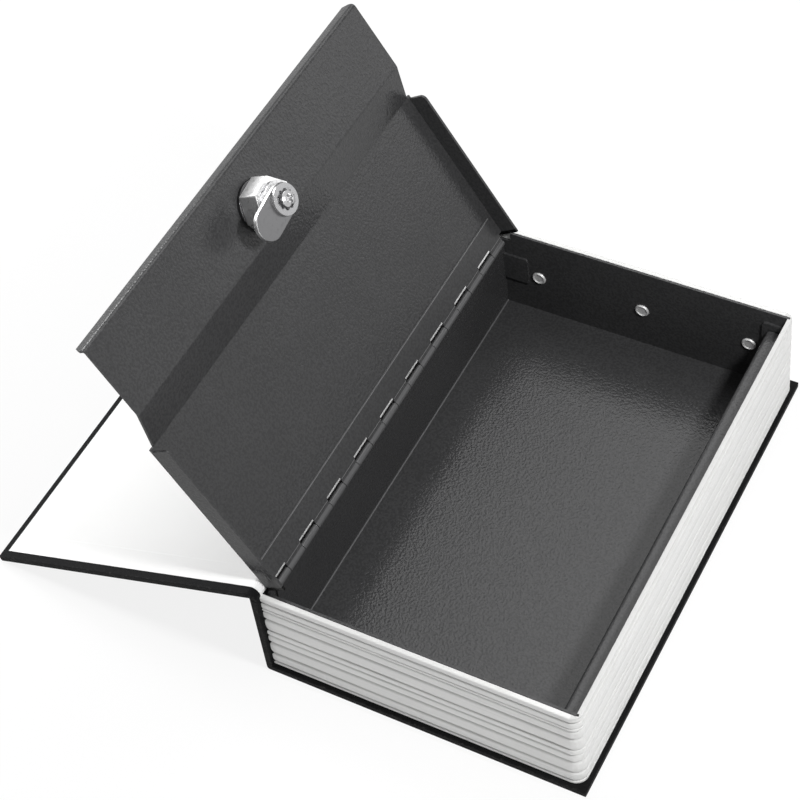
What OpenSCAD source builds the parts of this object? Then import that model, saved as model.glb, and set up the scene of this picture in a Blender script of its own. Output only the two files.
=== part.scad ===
// Book diversion safe: a lockable steel box inside a hollow book, drawn open.
// X runs from the spine to the fore edge, Y along the book, Z up from the table.
// Zero is the inner face of the spine, half way along the book, on the table.

/* [Cover case] */
// Length of the covers from head to tail
book_len = 240; // [180:1:300]
// Thickness of a wrapped cover
cover_t = 3.05; // [2.4:0.05:4]
// Thickness of the wrapped spine
spine_t = 3.1; // [2.4:0.05:5]
// How far the covers stand past the pages
overhang = 2.9; // [1.5:0.1:5]
// Radius of the fold between the spine and the back cover
spine_fold_r = 1.8; // [0.6:0.1:3]
// Thickness of the leatherette wrap
wrap_t = 0.45; // [0.3:0.05:0.6]
// Width of the wrap turned in round each board
turn_in = 14; // [8:0.5:20]
// Black border left round the endpaper
endpaper_border = 3.8; // [2:0.1:8]
// Thickness of the endpaper
endpaper_t = 0.25; // [0.15:0.05:0.4]

/* [Page block] */
// Width of the page block at its top, spine to fore edge
block_w = 146.7; // [110:0.1:200]
// Height of the page block
block_h = 49.4; // [40:0.1:70]
// Width of the moulded rim round the steel box
rim_w = 2.35; // [2.2:0.05:5]
// How much wider each side is at the foot than at the rim
block_draft = 1; // [0.4:0.1:2]
// Depth of the grooves between the page folds
fold_depth = 0.55; // [0.2:0.05:0.8]
// Radius of the inner corner that the folds turn round
corner_r = 2.4; // [1.6:0.1:5]

/* [Steel box] */
// Sheet thickness of the box and the lid
sheet_t = 1.2; // [0.8:0.1:1.6]
// Fit of the box inside the page block
box_fit = 0.1; // [0.05:0.05:0.3]
// Bend radius of the sheet, on its middle line
bend_r = 1.3; // [1:0.1:2]
// How far the latch ledge lies below the rim
ledge_drop = 9.75; // [9:0.05:14]
// Width of the latch ledge
ledge_w = 8.6; // [6:0.1:12]
// Height of the lip that hangs from the ledge
ledge_lip = 13.6; // [10:0.1:14]
// Height of the welded corner tabs
tab_h = 16; // [10:0.5:20]
// Width of the welded corner tabs
tab_w = 12.7; // [8:0.1:16]
// Distance between the rivets of an end wall
rivet_pitch = 53.7; // [30:0.1:60]
// Diameter of a rivet head
rivet_head_d = 7; // [5:0.1:9]

/* [Piano hinge] */
// Thickness of the hinge leaves
leaf_t = 0.8; // [0.6:0.05:1]
// Diameter of the hinge pin
hinge_pin_d = 2; // [1.6:0.1:2.4]
// Length of one knuckle with its gap
knuckle_pitch = 12.24; // [8:0.01:20]
// Space between each end of the hinge and the end wall
hinge_end_gap = 5.7; // [4:0.1:12]
// Width of a leaf from the pin to its free edge
leaf_w = 15.2; // [10:0.1:20]
// Height of the pin below the rim
pin_drop = 1.85; // [1.8:0.05:4]

/* [Lid] */
// Gap between the lid flanges and the end walls
lid_side_gap = 0.95; // [0.5:0.05:2]
// Gap between the free edge of the lid and the page block
lid_free_gap = 0.6; // [0.5:0.05:2]
// Space between the lock head and the step
lock_step_gap = 3.9; // [3.4:0.1:8]
// Width of the slanted step
step_w = 17.3; // [10:0.1:20]
// Depth of the step
step_h = 6.6; // [5:0.1:6.8]
// How much narrower the lock panel is on each side
lock_panel_inset = 2.2; // [2.2:0.1:6]
// Depth of the end flanges
flange_h = 10; // [6:0.1:11]
// Height of the turned-up free edge
free_lip_h = 6.5; // [4:0.1:7]
// Opening angle of the lid in the rest pose
lid_open = 120.9; // [100:0.1:125]

/* [Cam lock] */
// Space between the lock nut and the ledge
lock_ledge_gap = 1.8; // [1:0.1:4]
// Diameter of the lock barrel
barrel_d = 16.6; // [14:0.1:18]
// Length of the barrel under the lid panel
barrel_len = 13; // [12:0.1:14]
// Diameter of the lock head
head_d = 20; // [18:0.5:23]
// Wall of the lock nut at its flats, beside the panel
nut_wall = 2.2; // [1.7:0.1:3.2]
// How much thinner that wall is at the nut's tip
nut_taper = 0.7; // [0.3:0.1:0.9]
// Height of the lock nut
nut_h = 9.6; // [3:0.1:9.8]
// Width of the washer under the nut, from the barrel to its rim
nut_washer_w = 3.1; // [1.7:0.1:3.7]
// Thickness of the washer under the nut
nut_washer_t = 1.8; // [0.8:0.1:2]
// Space between the locked cam's tip and the fore wall
cam_tip_gap = 0.55; // [0.4:0.05:2]
// Width of the cam
cam_w = 14.8; // [10:0.1:15]
// Thickness of the cam
cam_t = 2.2; // [1.5:0.1:2.5]
// Direction of the unlocked cam, from the fore edge
cam_rest = -97; // [-110:1:-85]

/* [Hidden] */
$fn = 64;
cut = 1;                    // overrun of every cut
rest_gap = 0.3;             // between bodies that close on each other
run_fit = 0.05;             // radial fit of pins, plugs and shanks
weld = 0.25;                // overlap of joined shapes in one piece

// the case
board_top = cover_t;
rim_z = board_top + block_h;
cover_edge_x = block_w + overhang;

// page block
fold_share = [0, 0.040, 0.166, 0.332, 0.437, 0.516, 0.679, 0.800, 0.839, 0.923, 1];
fold_point_share = [-1, -0.8, -0.45, 0.45, 0.8];
page_half = book_len / 2 - overhang;
cavity_x = block_w - rim_w;
cavity_half = page_half - rim_w;
rim_round = 0.9;
rim_round_share = 0.3;

// steel box
box_x = cavity_x - box_fit;
box_half = cavity_half - box_fit;
inner_half = box_half - sheet_t;
floor_top = board_top + sheet_t;
ledge_z = rim_z - ledge_drop;
ledge_bend_r = 2.2;
ledge_end_gap = 1.9;
ledge_x = box_x - ledge_w;
notch_w = 5;
notch_h = 5.2;
rim_tab = 1.3;
rim_tab_h = 6;
fore_tab_rise = 3.5;
spine_tab_drop = 14.15;
tab_r = 1.8;
fore_tab_w = 10.2;
tab_relief = 0.3;

// rivets
rivet_z = 27.5;
rivet_mid_x = 73;
rivet_d = 3.2;
rivet_head_t = 1;
rivet_dish_d = 4.6;
rivet_dish_h = 0.45;
rivet_bite = 1.5;

// hinge
barrel_r = hinge_pin_d / 2 + leaf_t;
pin_x = sheet_t + barrel_r;
pin_z = rim_z - pin_drop;
bore_r = hinge_pin_d / 2 + run_fit;
knuckle_gap = 0.3;
hinge_shift = 0.45;
hinge_len = 2 * (inner_half - hinge_end_gap);
hinge_y0 = hinge_shift - hinge_len / 2;
hinge_y1 = hinge_shift + hinge_len / 2;
first_knuckle = 8.8;
first_seam = hinge_y0 + first_knuckle;
seams = [for (y = [first_seam : knuckle_pitch : hinge_y1 - knuckle_gap]) y];
slot_u = 4;
wall_drop = 2.2;
wall_top = pin_z - wall_drop;

// lid, as it lies when it is closed
lid_half = inner_half - lid_side_gap;
lock_half = lid_half - lock_panel_inset;
lid_top = pin_z - barrel_r + leaf_t + sheet_t;
panel_mid = lid_top - sheet_t / 2;
panel_gap = 0.5;
panel_start = barrel_r + panel_gap;
lock_mid = panel_mid - step_h;
lid_edge_x = cavity_x - lid_free_gap;
step_bend_r = 3;
flange_r = 2.6;
lip_chamfer = 2.6;

// lock, measured down from the under side of the lock panel
lock_under = lock_mid - sheet_t / 2;
lock_over = lock_mid + sheet_t / 2;
nut_af = barrel_d + 2 * nut_wall;
nut_tip_af = nut_af - 2 * nut_taper;
nut_washer_d = barrel_d + 2 * nut_washer_w;
lock_x = ledge_x - nut_af / cos(30) / 2 - lock_ledge_gap;
main_w = lock_x - head_d / 2 - lock_step_gap - step_w - pin_x;
flange_stop = 1.5;
flange_end = main_w - flange_stop;
head_t = 3.2;
head_round = 1;
plug_recess = 0.45;
barrel_end = lock_under - barrel_len;
plug_d = 12;
plug_flange_lap = 0.3;
plug_flange_d = barrel_d + 2 * plug_flange_lap;
plug_flange_t = 1;
plug_gap = 0.4;
square_w = 6.4;
spindle_fit = 0.1;
cam_top = barrel_end - plug_gap - plug_flange_t - spindle_fit;
cam_reach = box_x - sheet_t - cam_tip_gap - cam_w / 2 - lock_x;
cam_washer_d = 14;
cam_washer_t = 1.4;
star_d = 9.4;
star_t = 0.6;
star_teeth = 10;
screw_d = 3.4;
screw_head_d = 7.2;
screw_head_t = 1.7;
screw_len = 8;
screw_clear = 1;
screw_round_share = 0.5;
screw_dome_share = 0.77;
cross_w = 1.1;
cross_l = 4.2;
cross_h = 0.9;
key_w = 1.8;
key_l = 8;
key_depth = 9;
barrel_flat_cut = 0.8;
barrel_flat_af = barrel_d - 2 * barrel_flat_cut;
barrel_flat_len = 2.4;
nut_turn = 8;
hole_fit = 0.15;

// front cover, as it lies when it is closed
axis_h = 1.05;              // from the cover's outer face to its turning axis
axis_inset = 0.05;
cover_z = rim_z + rest_gap + endpaper_t;
cover_top = cover_z + cover_t;
axis_x = -spine_t + axis_inset;
axis_z = cover_top - axis_h;
cover_root_x = axis_x + axis_h + rest_gap;
cover_reach = cover_edge_x - axis_x;
cover_slope = asin(axis_z / norm([cover_reach, axis_h])) - atan(axis_h / cover_reach);
cover_open = 180 + cover_slope;
ridge_w = cover_root_x - rest_gap + spine_t;
ridge_top = axis_z - axis_h - rest_gap;

// ---- folded sheet: a middle line with bends, thickened to both sides ----
function unit(v) = v / norm(v);
function left(v) = [-v[1], v[0]];
function turn_of(a, b) = atan2(a[0] * b[1] - a[1] * b[0], a * b);
function bend(p0, p1, p2, r, steps) =
  let (d1 = unit(p1 - p0), d2 = unit(p2 - p1), turn = turn_of(d1, d2),
       side = sign(turn), start = p1 - d1 * r * tan(abs(turn) / 2),
       centre = start + left(d1) * side * r, a0 = atan2(d1[1], d1[0]))
  [for (i = [0 : steps])
    let (a = a0 + turn * i / steps, d = [cos(a), sin(a)])
    [centre - left(d) * side * r, left(d)]];
function sheet_line(pts, radii, steps = 5) =
  concat(
    [[pts[0], left(unit(pts[1] - pts[0]))]],
    [for (i = [1 : len(pts) - 2])
      each bend(pts[i - 1], pts[i], pts[i + 1], radii[i - 1], steps)],
    [[pts[len(pts) - 1], left(unit(pts[len(pts) - 1] - pts[len(pts) - 2]))]]);
function sheet_outline(line, t) = concat(
  [for (s = line) s[0] + s[1] * t / 2],
  [for (i = [len(line) - 1 : -1 : 0]) line[i][0] - line[i][1] * t / 2]);

module along_y(length) {
  rotate([90, 0, 0]) linear_extrude(height = length, center = true) children();
}

module both_ends() {
  children();
  mirror([0, 1, 0]) children();
}

module block(x0, x1, half, z0, z1) {
  translate([x0, -half, z0]) cube([x1 - x0, 2 * half, z1 - z0]);
}

module in_lid() {
  translate([pin_x, 0, pin_z]) rotate([0, -lid_open, 0])
    translate([-pin_x, 0, -pin_z]) children();
}

module in_cover() {
  translate([axis_x, 0, axis_z]) rotate([0, -cover_open, 0])
    translate([-axis_x, 0, -axis_z]) children();
}

module on_lock(z) {
  in_lid() translate([lock_x, 0, z]) children();
}

// ---- cover case ----
module back_board() {
  color("tan") {
    block(wrap_t, cover_edge_x - wrap_t, book_len / 2 - wrap_t, wrap_t, cover_t - wrap_t);
    block(turn_in, cover_edge_x - turn_in, book_len / 2 - turn_in,
      cover_t - wrap_t, cover_t);
  }
}

module spine_board() {
  color("burlywood") {
    block(wrap_t - spine_t, -wrap_t, book_len / 2 - wrap_t, cover_t, rim_z - wrap_t);
    block(-wrap_t, 0, book_len / 2 - turn_in, cover_t + turn_in, rim_z - turn_in);
  }
}

module case_profile() {
  translate([-spine_t + spine_fold_r, spine_fold_r]) circle(r = spine_fold_r);
  translate([-spine_t + spine_fold_r, 0])
    square([cover_edge_x + spine_t - spine_fold_r, cover_t]);
  translate([-spine_t, spine_fold_r]) square([spine_t, rim_z - spine_fold_r]);
}

module case_wrap() {
  color("dimgray") difference() {
    union() {
      along_y(book_len) case_profile();
      block(-spine_t, ridge_w - spine_t, book_len / 2, rim_z - wrap_t, ridge_top);
    }
    block(wrap_t, cover_edge_x - wrap_t, book_len / 2 - wrap_t, wrap_t, cover_t - wrap_t);
    block(turn_in, cover_edge_x - turn_in, book_len / 2 - turn_in,
      cover_t / 2, cover_t + cut);
    block(wrap_t - spine_t, -wrap_t, book_len / 2 - wrap_t, cover_t, rim_z - wrap_t);
    block(-spine_t / 2, cut, book_len / 2 - turn_in, cover_t + turn_in, rim_z - turn_in);
  }
}

module front_board() {
  color("wheat") in_cover() {
    block(cover_root_x + wrap_t, cover_edge_x - wrap_t, book_len / 2 - wrap_t,
      cover_z + wrap_t, cover_top - wrap_t);
    block(cover_root_x + turn_in, cover_edge_x - turn_in, book_len / 2 - turn_in,
      cover_z, cover_z + wrap_t);
  }
}

module front_wrap() {
  color("darkslategray") in_cover() difference() {
    block(cover_root_x, cover_edge_x, book_len / 2, cover_z, cover_top);
    block(cover_root_x + wrap_t, cover_edge_x - wrap_t, book_len / 2 - wrap_t,
      cover_z + wrap_t, cover_top - wrap_t);
    block(cover_root_x + turn_in, cover_edge_x - turn_in, book_len / 2 - turn_in,
      cover_z - cut, cover_z + cover_t / 2);
  }
}

// The cloth joint, rolled where it bends: both halves turn half as far as the cover.
module joint_half(side) {
  half = (book_len - rest_gap) / 2;
  translate([axis_x, side * (book_len - half) / 2, axis_z])
    along_y(half) circle(r = axis_h);
}

module near_joint() {
  color("black") joint_half(-1);
}

module far_joint() {
  color("black") joint_half(1);
}

module front_endpaper() {
  color("white") in_cover()
    block(cover_root_x, cover_edge_x - endpaper_border, book_len / 2 - endpaper_border,
      cover_z - endpaper_t, cover_z);
}

// ---- page block ----
// Folds: each swells between two grooves, on a side that widens to its foot.
function fold_side(reach) = concat(
  [for (i = [0 : len(fold_share) - 2])
    let (z0 = fold_share[i] * block_h, z1 = fold_share[i + 1] * block_h)
    each [for (s = fold_point_share)
      let (z = z0 + (z1 - z0) * (s + 1) / 2,
           inset = (i == 0 && s < 0) ? 0 : fold_depth * pow(abs(s), 3))
      if (z < block_h - rim_round)
      [reach + block_draft * (1 - z / block_h) - inset, z]]],
  [[reach, block_h - rim_round],
   [reach - rim_round * rim_round_share, block_h - rim_round * rim_round_share],
   [reach - rim_round, block_h]]);

function half_outline(reach) = concat([[0, 0]], fold_side(reach), [[0, block_h]]);
function full_outline(reach) = concat(
  fold_side(reach), [for (i = [len(fold_side(reach)) - 1 : -1 : 0])
    [-fold_side(reach)[i][0], fold_side(reach)[i][1]]]);

module folded_mass() {
  centre_x = cavity_x - corner_r;
  centre_y = cavity_half - corner_r;
  rotate([90, 0, 90]) linear_extrude(height = centre_x)
    polygon(full_outline(page_half));
  along_y(2 * centre_y) polygon(half_outline(block_w));
  both_ends() translate([centre_x, centre_y, 0]) rotate_extrude(angle = 90)
    polygon(half_outline(corner_r + rim_w));
}

module rivet_places() {
  for (i = [-1 : 1])
    translate([rivet_mid_x + i * rivet_pitch, 0, rivet_z]) children();
}

module page_block() {
  color("whitesmoke") difference() {
    translate([0, 0, board_top]) folded_mass();
    block(-cut, cavity_x, cavity_half, board_top - cut, rim_z + cut);
    both_ends() {
      translate([cavity_x - cut, cavity_half - sheet_t - box_fit * 2, rim_z - rim_tab_h - box_fit])
        cube([rim_tab + box_fit + cut, sheet_t + box_fit * 2, rim_tab_h + box_fit + cut]);
      rivet_places() translate([0, cavity_half - cut, 0]) rotate([-90, 0, 0])
        cylinder(d = rivet_d + 2 * run_fit, h = rivet_bite + run_fit + cut);
    }
  }
}

// ---- steel box ----
module tray_fold() {
  h = sheet_t / 2;
  line = sheet_line([[h, wall_top], [h, floor_top - h], [box_x - h, floor_top - h],
    [box_x - h, ledge_z - h], [ledge_x + h, ledge_z - h],
    [ledge_x + h, ledge_z - ledge_lip]],
    [bend_r, bend_r, ledge_bend_r, bend_r]);
  along_y(2 * inner_half) polygon(sheet_outline(line, sheet_t));
}

module end_wall() {
  translate([0, inner_half, board_top]) difference() {
    union() {
      cube([box_x, sheet_t, block_h]);
      translate([box_x - cut, 0, block_h - rim_tab_h]) cube([rim_tab + cut, sheet_t, rim_tab_h]);
    }
    translate([-cut, -cut, block_h - notch_h])
      cube([notch_w + cut, sheet_t + 2 * cut, notch_h + cut]);
  }
}

// A tab bent off a wall and welded flat inside the end wall.
module corner_tab(x, width, z) {
  translate([x, inner_half, z]) rotate([90, 0, 0]) linear_extrude(height = sheet_t)
    difference() {
      square([width, tab_h]);
      translate([width - tab_r, tab_h - tab_r]) difference() {
        square([tab_r + cut, tab_r + cut]);
        circle(r = tab_r);
      }
    }
}

module box_tray() {
  fore_top = ledge_z + fore_tab_rise;
  relief = inner_half - ledge_end_gap;
  color("slategray") difference() {
    union() {
      difference() {
        tray_fold();
        both_ends() translate([ledge_x - cut, relief, ledge_z - ledge_lip - cut])
          cube([box_x - ledge_x - sheet_t + cut, ledge_end_gap + cut, ledge_lip + 2 * cut]);
        both_ends() translate([ledge_x - cut, relief, ledge_z - ledge_bend_r - sheet_t])
          cube([box_x - ledge_x + 2 * cut, ledge_end_gap + cut, ledge_bend_r + 2 * sheet_t]);
      }
      both_ends() {
        end_wall();
        translate([box_x - sheet_t, relief + tab_relief, ledge_z - tab_h])
          cube([sheet_t, ledge_end_gap - tab_relief, tab_h + fore_tab_rise]);
        corner_tab(0, tab_w + sheet_t, rim_z - spine_tab_drop - tab_h);
        translate([box_x, 0, 0]) mirror([1, 0, 0])
          corner_tab(0, fore_tab_w + sheet_t, fore_top - tab_h);
      }
    }
    both_ends() rivet_places() translate([0, inner_half - cut, 0]) rotate([-90, 0, 0])
      cylinder(d = rivet_d + 2 * run_fit, h = sheet_t + 2 * cut);
  }
}

// ---- rivets ----
module rivet(i, side) {
  color("silver") mirror([0, side < 0 ? 1 : 0, 0])
    translate([rivet_mid_x + i * rivet_pitch, inner_half, rivet_z]) rotate([-90, 0, 0])
      rotate_extrude() polygon([
        [0, -rivet_head_t + rivet_dish_h],
        [rivet_dish_d / 2, -rivet_head_t + rivet_dish_h],
        [rivet_dish_d / 2 + rivet_dish_h, -rivet_head_t],
        [rivet_head_d / 2 - rivet_dish_h, -rivet_head_t],
        [rivet_head_d / 2, -rivet_dish_h],
        [rivet_head_d / 2, 0],
        [rivet_d / 2, 0],
        [rivet_d / 2, sheet_t + box_fit + rivet_bite],
        [0, sheet_t + box_fit + rivet_bite]]);
}

// ---- piano hinge ----
// Knuckles alternate between the two leaves; cut ends leave two short ones.
function knuckle_from(k) = k < 0 ? hinge_y0 : seams[k] + knuckle_gap / 2;
function knuckle_to(k) =
  k >= len(seams) - 1 ? hinge_y1 : seams[k + 1] - knuckle_gap / 2;

module knuckle_span(k, margin) {
  a = knuckle_from(k) - margin;
  b = knuckle_to(k) + margin;
  translate([0, (a + b) / 2, 0]) along_y(b - a) children();
}

// A leaf in the plane of its own wall: local x is out from the wall, y along it.
module leaf(first) {
  last = len(seams) - 1;
  difference() {
    union() {
      translate([0, hinge_shift, 0]) along_y(hinge_len)
        translate([-barrel_r, -leaf_w]) square([leaf_t, leaf_w - slot_u]);
      for (k = [first : 2 : last]) knuckle_span(k, 0) {
        circle(r = barrel_r);
        translate([-barrel_r, -slot_u - cut]) square([leaf_t, slot_u + cut]);
      }
    }
    translate([0, hinge_shift, 0]) along_y(hinge_len + 2 * cut) circle(r = bore_r);
  }
}

module box_leaf() {
  color("gray") translate([pin_x, 0, pin_z]) leaf(-1);
}

module lid_leaf() {
  color("darkgray") in_lid() translate([pin_x, 0, pin_z]) rotate([0, -90, 0]) leaf(0);
}

module hinge_pin() {
  color("lightgray") translate([pin_x, hinge_shift, pin_z]) along_y(hinge_len)
    circle(d = hinge_pin_d);
}

// ---- lid ----
module lid_sheet() {
  edge = lid_edge_x - sheet_t / 2;
  step_x = pin_x + main_w;
  line = sheet_line([[pin_x + panel_start, panel_mid], [step_x, panel_mid],
    [step_x + step_w, lock_mid], [edge, lock_mid],
    [edge, lock_under + free_lip_h]],
    [step_bend_r, step_bend_r, bend_r]);
  difference() {
    along_y(2 * lid_half) polygon(sheet_outline(line, sheet_t));
    both_ends() translate([step_x, lock_half, lock_under - cut])
      cube([lid_edge_x - step_x + cut, lock_panel_inset + cut, step_h + free_lip_h + 2 * cut]);
    both_ends() translate([edge - sheet_t, lock_half, lock_over + bend_r])
      rotate([90, 0, 90]) linear_extrude(height = 3 * sheet_t)
        polygon([[-lip_chamfer, free_lip_h], [cut, free_lip_h], [cut, -cut]]);
  }
}

module end_flange() {
  reach = flange_end - panel_start;
  translate([pin_x + panel_start, lid_half, lid_top - flange_h])
    rotate([90, 0, 0]) linear_extrude(height = sheet_t) difference() {
      square([reach, flange_h - sheet_t / 2]);
      translate([reach - flange_r, flange_r]) difference() {
        translate([0, -flange_r - cut]) square([flange_r + cut, flange_r + cut]);
        circle(r = flange_r);
      }
    }
}

module lid_panel() {
  color("lightslategray") in_lid() difference() {
    union() {
      lid_sheet();
      both_ends() end_flange();
    }
    translate([lock_x, 0, lock_under - cut])
      cylinder(d = barrel_d + 2 * hole_fit, h = sheet_t + 2 * cut);
  }
}

// ---- cam lock ----
module lock_housing() {
  color("gainsboro") on_lock(0) difference() {
    union() {
      translate([0, 0, barrel_end]) cylinder(d = barrel_d, h = barrel_len + sheet_t + weld);
      translate([0, 0, lock_over]) rotate_extrude() polygon([
        [0, 0], [head_d / 2, 0], [head_d / 2, head_t - head_round],
        [head_d / 2 - head_round, head_t], [0, head_t]]);
    }
    translate([0, 0, barrel_end - cut])
      cylinder(d = plug_d + 2 * run_fit, h = barrel_len + sheet_t + head_t + 2 * cut);
    for (side = [0, 180]) rotate(side)
      translate([barrel_flat_af / 2, -barrel_d / 2, barrel_end - cut])
        cube([barrel_d, barrel_d, barrel_flat_len + cut]);
  }
}

module nut_washer() {
  color("silver") on_lock(lock_under - nut_washer_t) difference() {
    cylinder(d = nut_washer_d, h = nut_washer_t);
    translate([0, 0, -cut]) cylinder(d = barrel_d + 2 * run_fit, h = nut_washer_t + 2 * cut);
  }
}

module lock_nut() {
  color("silver") on_lock(lock_under - nut_washer_t - nut_h) difference() {
    rotate(nut_turn)
      cylinder(d1 = nut_tip_af / cos(30), d2 = nut_af / cos(30), h = nut_h, $fn = 6);
    translate([0, 0, -cut]) cylinder(d = barrel_d + 2 * run_fit, h = nut_h + 2 * cut);
  }
}

module lock_plug() {
  plug_top = lock_over + head_t - plug_recess;
  flange_top = barrel_end - plug_gap;
  tail = plug_flange_t + spindle_fit + cam_t;
  color("gray") on_lock(0) difference() {
    union() {
      translate([0, 0, flange_top - weld])
        cylinder(d = plug_d, h = plug_top - flange_top + weld);
      translate([0, 0, flange_top - plug_flange_t])
        cylinder(d = plug_flange_d, h = plug_flange_t);
      translate([0, 0, flange_top - tail / 2]) rotate(cam_rest)
        cube([square_w, square_w, tail], center = true);
    }
    translate([-key_l / 2, -key_w / 2, plug_top - key_depth])
      cube([key_l, key_w, key_depth + cut]);
    translate([0, 0, flange_top - tail - cut])
      cylinder(d = screw_d + 2 * run_fit, h = screw_len + cut);
  }
}

module lock_cam() {
  color("lightsteelblue") on_lock(cam_top - cam_t) rotate(cam_rest)
    linear_extrude(height = cam_t) difference() {
      union() {
        circle(d = cam_w);
        translate([cam_reach, 0]) circle(d = cam_w);
        translate([0, -cam_w / 2]) square([cam_reach, cam_w]);
      }
      square(square_w + 2 * spindle_fit, center = true);
    }
}

module cam_washer() {
  color("lightgray") on_lock(cam_top - cam_t - cam_washer_t) difference() {
    cylinder(d = cam_washer_d, h = cam_washer_t);
    translate([0, 0, -cut]) cylinder(d = screw_d + 2 * spindle_fit, h = cam_washer_t + 2 * cut);
  }
}

module star_washer() {
  tooth = 360 / star_teeth;
  color("silver") on_lock(cam_top - cam_t - cam_washer_t - star_t)
    linear_extrude(height = star_t) difference() {
      polygon([for (i = [0 : 2 * star_teeth - 1])
        let (r = (i % 2 == 0 ? star_d : screw_head_d) / 2)
        [r * cos(i * tooth / 2), r * sin(i * tooth / 2)]]);
      circle(d = screw_d + 2 * spindle_fit);
    }
}

module cam_screw() {
  seat = cam_top - cam_t - cam_washer_t - star_t;
  shank = star_t + cam_washer_t + screw_len - screw_clear;
  color("gainsboro") on_lock(seat) difference() {
    union() {
      rotate_extrude() polygon([
        [0, 0], [screw_head_d / 2, 0],
        [screw_head_d / 2, -screw_head_t * screw_round_share],
        [screw_head_d / 2 * screw_dome_share, -screw_head_t * (1 + screw_round_share) / 2],
        [screw_head_d / 2 * screw_round_share, -screw_head_t], [0, -screw_head_t]]);
      translate([0, 0, -weld]) cylinder(d = screw_d, h = shank + weld);
    }
    for (a = [0, 90]) rotate(a)
      translate([-cross_l / 2, -cross_w / 2, -screw_head_t - cut])
        cube([cross_l, cross_w, cross_h + cut]);
  }
}

back_board();
spine_board();
case_wrap();
near_joint();
far_joint();
front_board();
front_wrap();
front_endpaper();
page_block();
box_tray();
box_leaf();
lid_leaf();
hinge_pin();
lid_panel();
lock_housing();
nut_washer();
lock_nut();
lock_plug();
lock_cam();
cam_washer();
star_washer();
cam_screw();
rivet(-1, -1);  // rivet_near_1
rivet(0, -1);  // rivet_near_2
rivet(1, -1);  // rivet_near_3
rivet(-1, 1);  // rivet_far_1
rivet(0, 1);  // rivet_far_2
rivet(1, 1);  // rivet_far_3
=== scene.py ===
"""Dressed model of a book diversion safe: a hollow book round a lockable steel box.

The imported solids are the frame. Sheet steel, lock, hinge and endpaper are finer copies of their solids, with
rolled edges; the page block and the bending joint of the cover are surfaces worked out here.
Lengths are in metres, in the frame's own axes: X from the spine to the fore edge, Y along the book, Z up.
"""
import logging
import math
from collections.abc import Iterator, Mapping
from contextlib import contextmanager
from dataclasses import dataclass, field
from enum import Enum
from typing import Any

import bmesh
import bpy
import numpy as np
from mathutils import Matrix, Vector


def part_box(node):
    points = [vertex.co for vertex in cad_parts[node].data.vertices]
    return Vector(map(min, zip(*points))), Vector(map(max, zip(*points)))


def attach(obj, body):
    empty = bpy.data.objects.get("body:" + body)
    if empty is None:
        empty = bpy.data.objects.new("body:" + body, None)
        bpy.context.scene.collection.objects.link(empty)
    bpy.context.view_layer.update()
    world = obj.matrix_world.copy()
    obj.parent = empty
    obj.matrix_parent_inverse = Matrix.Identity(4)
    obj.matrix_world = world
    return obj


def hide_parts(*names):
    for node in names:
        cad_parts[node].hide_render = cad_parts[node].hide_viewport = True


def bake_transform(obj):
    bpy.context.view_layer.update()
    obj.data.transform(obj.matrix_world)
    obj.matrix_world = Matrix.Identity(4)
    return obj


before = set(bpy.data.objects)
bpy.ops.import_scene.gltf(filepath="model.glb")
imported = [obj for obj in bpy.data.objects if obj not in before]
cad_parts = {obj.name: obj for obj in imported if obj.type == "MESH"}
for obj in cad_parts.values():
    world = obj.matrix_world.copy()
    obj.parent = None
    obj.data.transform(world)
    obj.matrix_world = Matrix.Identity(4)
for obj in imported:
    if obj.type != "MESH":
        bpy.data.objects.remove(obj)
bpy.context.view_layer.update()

MM = 0.001
LID_TILT = math.radians(30.9)  # how far the open lid leans back from upright
LID_UP = Vector((-math.sin(LID_TILT), 0.0, math.cos(LID_TILT)))
LID_OUT = Vector((math.cos(LID_TILT), 0.0, math.sin(LID_TILT)))
HINGE_AXIS = Vector((3.0 * MM, 0.0, 50.6 * MM))  # the pin's middle
LOCK_PANEL = 7.6 * MM  # from the hinge's axis out to the face that carries the lock
Point = tuple[float, float, float]
Colour = Point
Span = tuple[float, float]  # where a step starts and where it ends
Material = bpy.types.Material
Piece = bpy.types.Object
log = logging.getLogger("book_safe")


class Body(Enum):
    """The rigid bodies that a piece can ride on."""

    CASE = "case"
    SPINE_CLOTH = "spine_cloth"
    COVER_CLOTH = "cover_cloth"
    COVER = "cover"
    LID = "lid"
    CAM = "cam"


class Slot(Enum):
    """The record's material slots."""

    LEATHERETTE = "leatherette"
    BOARD = "board"
    ENDPAPER = "endpaper"
    PAGES = "pages"
    BOX_STEEL = "box_steel"
    HINGE_STEEL = "hinge_steel"
    PIN_STEEL = "pin_steel"
    LOCK_CHROME = "lock_chrome"
    CAM_ZINC = "cam_zinc"
    FASTENER_ZINC = "fastener_zinc"
    RIVET_ALU = "rivet_alu"


# Shader maths

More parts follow.
